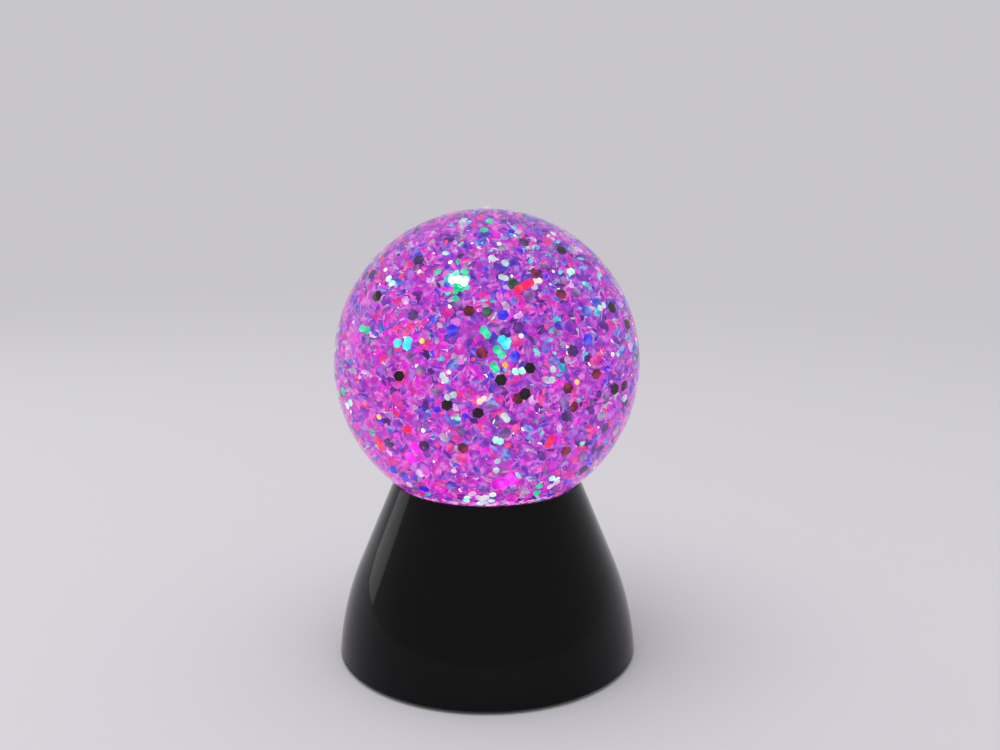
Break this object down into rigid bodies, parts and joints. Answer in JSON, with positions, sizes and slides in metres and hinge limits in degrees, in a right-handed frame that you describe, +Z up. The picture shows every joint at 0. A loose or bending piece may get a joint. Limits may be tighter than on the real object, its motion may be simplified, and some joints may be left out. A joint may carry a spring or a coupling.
{
  "type": "glitter water ball lamp",
  "caption": "Table lamp: a clear ball of water and drifting foil glitter on a gloss black dome that holds the lights, stirring motor and cells, with a slide switch at the back.",
  "frame": {"origin": "on the table under the ball's axis", "axes": "+Z up along the ball's axis, +Y to the back where the switch is, +X to the right as the front is seen"},
  "size_m": [0.1009, 0.101, 0.1506],
  "materials": {
    "clear_ball": "gloss",
    "water": "gloss",
    "foil_glitter": "gloss",
    "gloss_black": "gloss",
    "matte_black": "matte",
    "white_plastic": "satin",
    "black_rubber": "matte",
    "steel": "satin",
    "nickel_magnet": "gloss",
    "ferrite": "matte",
    "rotor_iron": "satin",
    "green_board": "satin",
    "red_lens": "gloss",
    "green_lens": "gloss",
    "blue_lens": "gloss",
    "chip_black": "matte",
    "capacitor_sleeve": "gloss",
    "resistor_body": "satin",
    "cell_jacket": "gloss",
    "tinned_brass": "satin",
    "red_wire": "satin",
    "black_wire": "satin",
    "orange_wire": "satin",
    "yellow_wire": "satin",
    "blue_wire": "satin"
  },
  "bodies": {
    "base": {"ball_shell": "clear_ball", "neck_plug": "white_plastic", "plug_seal": "black_rubber", "impeller_pivot": "steel", "pivot_cap": "white_plastic", "base_shell": "gloss_black", "light_tray": "white_plastic", "tray_screws": "steel", "led_board": "green_board", "red_led": "red_lens", "green_led": "green_lens", "blue_led": "blue_lens", "motor_can": "steel", "motor_magnets": "ferrite", "motor_end_cap": "white_plastic", "motor_terminals": "tinned_brass", "motor_screws": "steel", "control_board": "green_board", "control_chip": "chip_black", "board_capacitor": "capacitor_sleeve", "board_resistors": "resistor_body", "board_screws": "steel", "bottom_cover": "matte_black", "cover_screws": "steel", "rubber_feet": "black_rubber", "battery_cells": "cell_jacket", "cell_springs": "steel", "bridge_contacts": "steel", "positive_contact": "steel", "negative_contact": "steel", "switch_body": "chip_black", "switch_frame": "steel", "switch_tags": "tinned_brass", "switch_screws": "steel", "battery_positive_wire": "red_wire", "battery_negative_wire": "black_wire", "switch_wires": "orange_wire", "motor_wires": "yellow_wire", "led_wires": "blue_wire"},
    "swirl": {"water_fill": "water", "glitter_flakes": "foil_glitter"},
    "impeller": {"impeller": "white_plastic", "impeller_magnets": "nickel_magnet"},
    "drive": {"motor_shaft": "steel", "motor_rotor": "rotor_iron", "magnet_carrier": "white_plastic", "drive_magnets": "nickel_magnet"},
    "switch_knob": {"switch_knob": "matte_black"},
    "battery_door": {"battery_door": "matte_black", "door_screws": "steel"}
  },
  "joints": [
    {"name": "glitter_swirl", "type": "hinge", "parent": "base", "child": "swirl", "pos_m": [0, 0, 0.1], "axis": [0, 0, 1], "continuous": true},
    {"name": "drive_spin", "type": "hinge", "parent": "base", "child": "drive", "pos_m": [0, 0, 0.035], "axis": [0, 0, 1], "continuous": true},
    {"name": "impeller_spin", "type": "hinge", "parent": "base", "child": "impeller", "pos_m": [0, 0, 0.05], "axis": [0, 0, 1], "continuous": true},
    {"name": "power_switch", "type": "slide", "parent": "base", "child": "switch_knob", "axis": [1, 0, 0], "range_m": [0, 0.004]},
    {"name": "battery_door_lift", "type": "slide", "parent": "base", "child": "battery_door", "axis": [0, 0, -1], "range_m": [0, 0.03]}
  ],
  "couplings": [
    {"joint": "drive_spin", "follows": "glitter_swirl", "ratio": 7.5},
    {"joint": "impeller_spin", "follows": "glitter_swirl", "ratio": 7.5}
  ]
}
